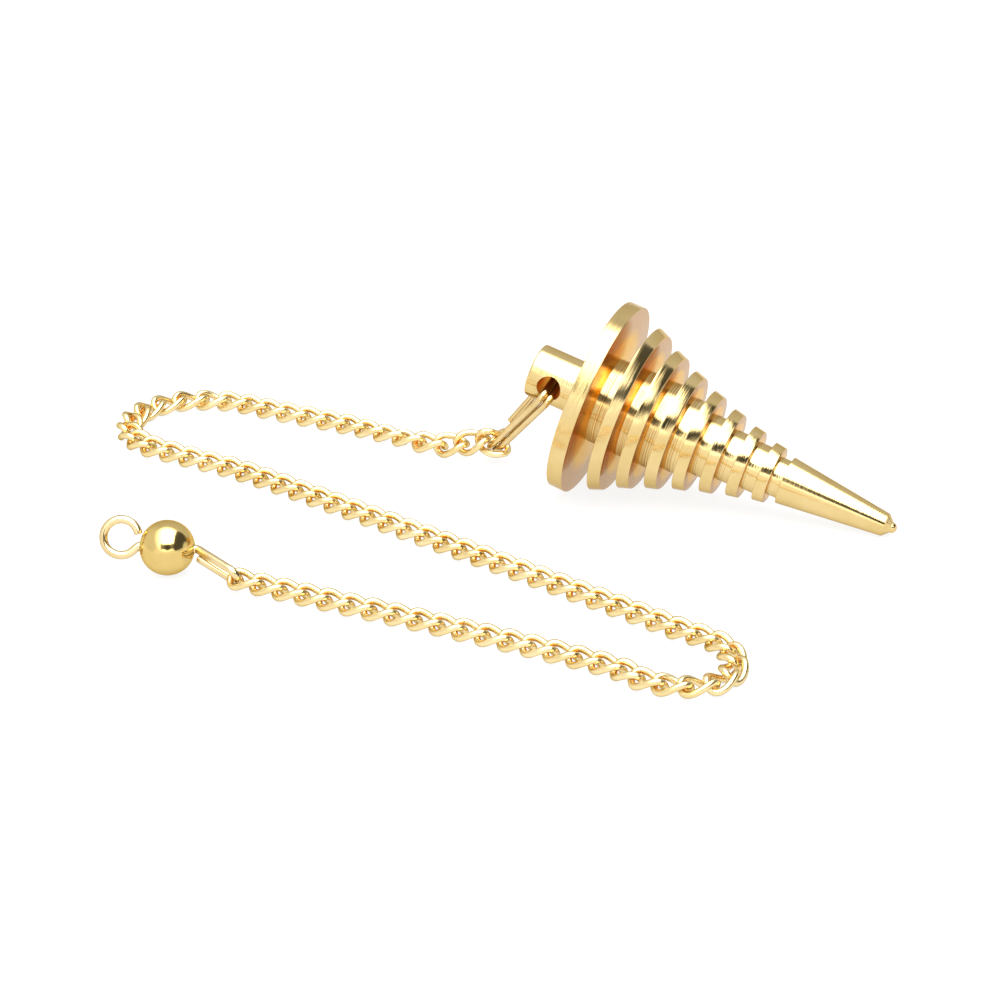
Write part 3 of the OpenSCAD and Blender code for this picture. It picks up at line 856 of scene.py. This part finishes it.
# %% Pieces, nodes and finishes
for piece, node, slot, material in [
        (bob, "bob", "turned_brass", turned_brass),
        (bail, "bail", "bail_brass", bail_brass),
        (chain, "chain", "chain_brass", chain_brass),
        (bead, "bead", "bead_brass", bead_brass),
        (eye_pin, "eye_pin", "pin_brass", pin_brass)]:
    piece.data.materials.clear()
    piece.data.materials.append(material)
    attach(piece, "root")
    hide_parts(node)
    print(f"{piece.name} stands for {node}")

# %% [markdown]
# ## The table
#
# The picture was taken on white, with no shadow to be seen. White paper lit from below as well as
# from above has none, so the paper here shines by itself and takes only a little light. It lies a
# hair under the pieces, so that no face lies in it.

# %% A sheet of white paper
HALF_TABLE, TABLE_Z = 1.5, -0.00005
floor_mesh = bpy.data.meshes.new("table")
floor_mesh.from_pydata([(-HALF_TABLE, -HALF_TABLE, TABLE_Z), (HALF_TABLE, -HALF_TABLE, TABLE_Z),
                        (HALF_TABLE, HALF_TABLE, TABLE_Z), (-HALF_TABLE, HALF_TABLE, TABLE_Z)],
                       [], [(0, 1, 2, 3)])
table = bpy.data.objects.new("table", floor_mesh)
bpy.context.scene.collection.objects.link(table)
paper = bpy.data.materials.new("white paper")
paper.use_nodes = True
for name, value in [("Base Color", (0.16, 0.16, 0.16, 1)), ("Roughness", 0.9),
                    ("Specular IOR Level", 0.1), ("Emission Color", (1, 1, 1, 1)),
                    ("Emission Strength", 0.85)]:
    paper.node_tree.nodes["Principled BSDF"].inputs[name].default_value = value
floor_mesh.materials.append(paper)
print(f"the table is {2 * HALF_TABLE:.0f} m wide")

# %% [markdown]
# ## The room
#
# Polished metal shows the whole room, so the room has what a white photo tent has: a bright top,
# plain pale sides and a dark opening in front, where the camera looks in. The bead is a small
# mirror of the real room: it shows a wide soft box overhead, a little to the front, the camera as a
# dark bar in front, and one large dark shape to the right. Each is a mask of directions with its
# own brightness, and they are laid over each other like paint.

# %% Masks of directions
world = bpy.data.worlds.new("photo tent")
bpy.context.scene.world = world
world.use_nodes = True
room = world.node_tree
look = added(room, "TexCoord").outputs["Generated"]


def towards(way):
    """How far a direction of the room points along a given one: 1 straight along it, 0 square to
    it, and less than 0 away from it."""
    return along(room, look, way)


def step(value, low, high, to_low=0.0, to_high=1.0):
    """A smooth step of value from to_low at low to to_high at high."""
    return rise(room, value, low, high, to_low, to_high, smooth=True)


def times(*masks):
    """The masks' product, which is 1 only where all of them are."""
    whole = masks[0]
    for mask in masks[1:]:
        whole = product(room, whole, mask)
    return whole


def painted(under, mask, brightness):
    """The brightness under, with another in its place where the mask is 1."""
    node = added(room, "Mix")
    node.data_type = "FLOAT"
    room.links.new(mask, node.inputs["Factor"])
    room.links.new(under, node.inputs["A"])
    node.inputs["B"].default_value = brightness
    return node.outputs["Result"]


right_of, left_of, height = towards((1, 0, 0)), towards((-1, 0, 0)), towards((0, 0, 1))
in_front = towards((0, -1, 0))
low_front = times(step(in_front, 0.5, 0.8), step(height, 0.34, 0.22))
soft_box_above = times(step(right_of, 0.60, 0.50), step(left_of, 0.80, 0.15),
                       step(towards((0, -0.43, 0.90)), 0.50, 0.82))
camera_bar = times(step(right_of, 0.62, 0.54), step(left_of, 0.46, 0.34),
                   step(height, 0.24, 0.36), step(height, 0.68, 0.58),
                   step(in_front, 0.3, 0.5))
lens_spot = step(towards((0.10, -0.885, 0.455)), 0.965, 0.985)
dark_right = times(step(right_of, 0.49, 0.53), step(right_of, 0.98, 0.93),
                   step(towards((0.80, -0.25, 0.55)), 0.74, 0.78), step(height, 0.08, 0.16))
print(f"the room's masks take {len(room.nodes)} nodes")

# %% [markdown]
# ## Painting the room
#
# The walls come first, dimmer towards the back, then the bright parts, then the dark ones. Their
# brightness is what makes the dark and light bands on the cone and on the discs, so they were set
# by comparing those bands with the picture's.

# %% Brightness, one layer over another
walls = step(towards((0, 1, 0)), -0.3, 0.7, 1.05, 0.76)
for mask, brightness in [
        (step(left_of, 0.3, 0.7), 1.05), (low_front, 1.35), (soft_box_above, 5.5),
        (camera_bar, 0.3), (lens_spot, 0.07), (dark_right, 0.1)]:
    walls = painted(walls, mask, brightness)
sky = room.nodes["Background"]
room.links.new(walls, sky.inputs["Strength"])
sky.inputs["Color"].default_value = (1, 1, 1, 1)
print(f"the room takes {len(room.nodes)} nodes")

# %% [markdown]
# ## A lamp and the view transform
#
# One weak area lamp above adds the faintest shadow under the pieces, so that they don't float.
# The Standard view shows white as white, as a shop's picture does.

# %% The lamp
def placed(x, y, z, at):
    """The matrix whose axes are x, y and z and whose origin is at."""
    rows = np.eye(4)
    rows[:3, :3], rows[:3, 3] = np.stack([x, y, z], 1), at
    return Matrix(rows.tolist())


def soft_box(name, at, aimed_at, size, power):
    """A square area light at a place, turned to face another."""
    light = bpy.data.lights.new(name, "AREA")
    light.shape, light.size, light.energy = "SQUARE", size, power
    lamp = bpy.data.objects.new(name, light)
    back = unit(np.array(at) - np.array(aimed_at))
    side = unit(np.cross([0.0, 1, 0.01], back))
    lamp.matrix_world = placed(side, np.cross(back, side), back, at)
    bpy.context.scene.collection.objects.link(lamp)
    return lamp


top_box = soft_box("top box", at=(0.15, 0.1, 0.8), aimed_at=(0, 0, 0), size=0.3, power=0.9)
bpy.context.scene.view_settings.view_transform = "Standard"
print(f"{top_box.name}: {top_box.data.energy:.1f} W")

# %% [markdown]
# ## The camera
#
# Small objects are taken with a long lens from some way off, which keeps the near and far ends of
# the chain the same size. The place and the lens were fitted to the edges of the discs, to the
# bob's two points of contact with the table and to the even pitch of the chain.

# %% A long lens, a little above the table
lens = bpy.data.cameras.new("camera")
lens.sensor_width, lens.lens, lens.clip_start = 36, 129.6, 0.01
camera = bpy.data.objects.new("camera", lens)
eye = np.array([0.00055, -0.34728, 0.17193])
aim = np.array([0.00055, 0.00775, 0.00107])
back = unit(eye - aim)
right = unit(np.cross([0.0, 0, 1], back))
camera.matrix_world = placed(right, np.cross(back, right), back, eye)
bpy.context.scene.collection.objects.link(camera)
bpy.context.scene.camera = camera
print(f"the camera is {np.linalg.norm(eye - aim) / MM:.0f} mm away, "
      f"{np.degrees(np.arcsin(back[2])):.1f} degrees above the table")
